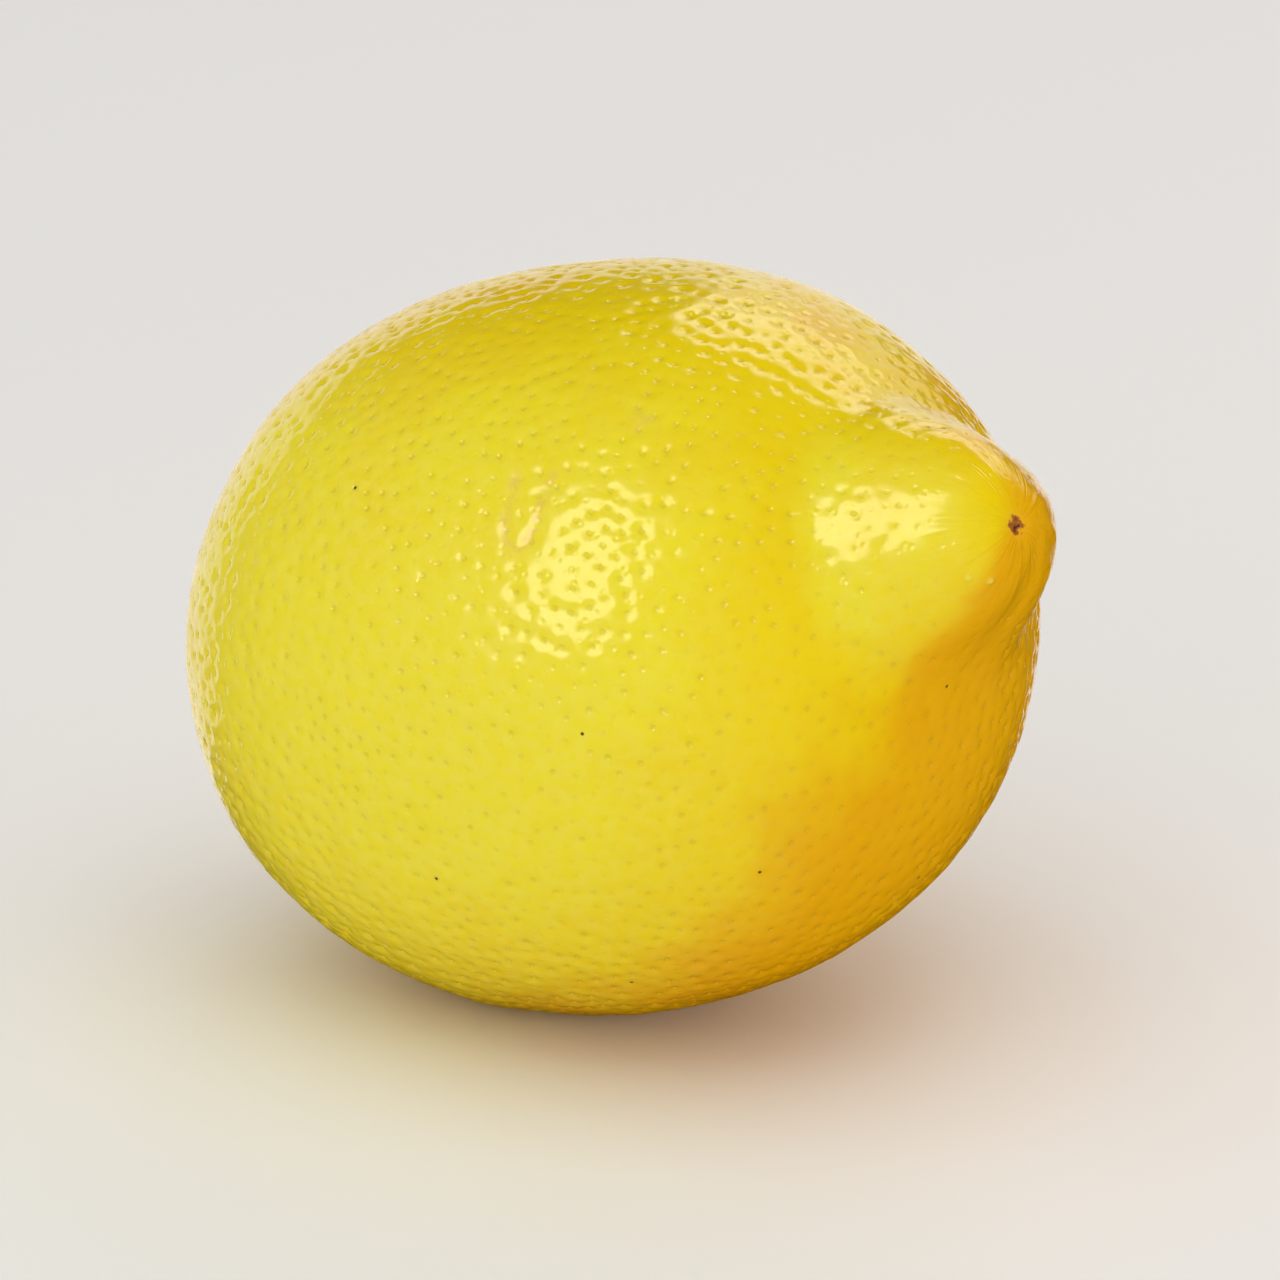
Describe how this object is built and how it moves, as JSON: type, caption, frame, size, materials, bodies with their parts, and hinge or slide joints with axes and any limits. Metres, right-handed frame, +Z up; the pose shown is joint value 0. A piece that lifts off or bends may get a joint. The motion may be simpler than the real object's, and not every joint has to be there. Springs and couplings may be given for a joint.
{
  "type": "lemon",
  "caption": "Whole fresh lemon with a blunt nipple, pitted rind and a calyx with a cut stem stub at the other end, lying on a small flat spot.",
  "frame": {"origin": "on the floor, under the middle of the lemon's box", "axes": "+Z up off the floor; +X the way the nipple points as seen from above; the long axis lies in the XZ plane, nipple end raised 24 degrees"},
  "size_m": [0.0782, 0.062, 0.0617],
  "materials": {
    "rind": "satin",
    "calyx": "matte"
  },
  "bodies": {
    "root": {"fruit": "rind", "stem_button": "calyx"}
  },
  "joints": []
}
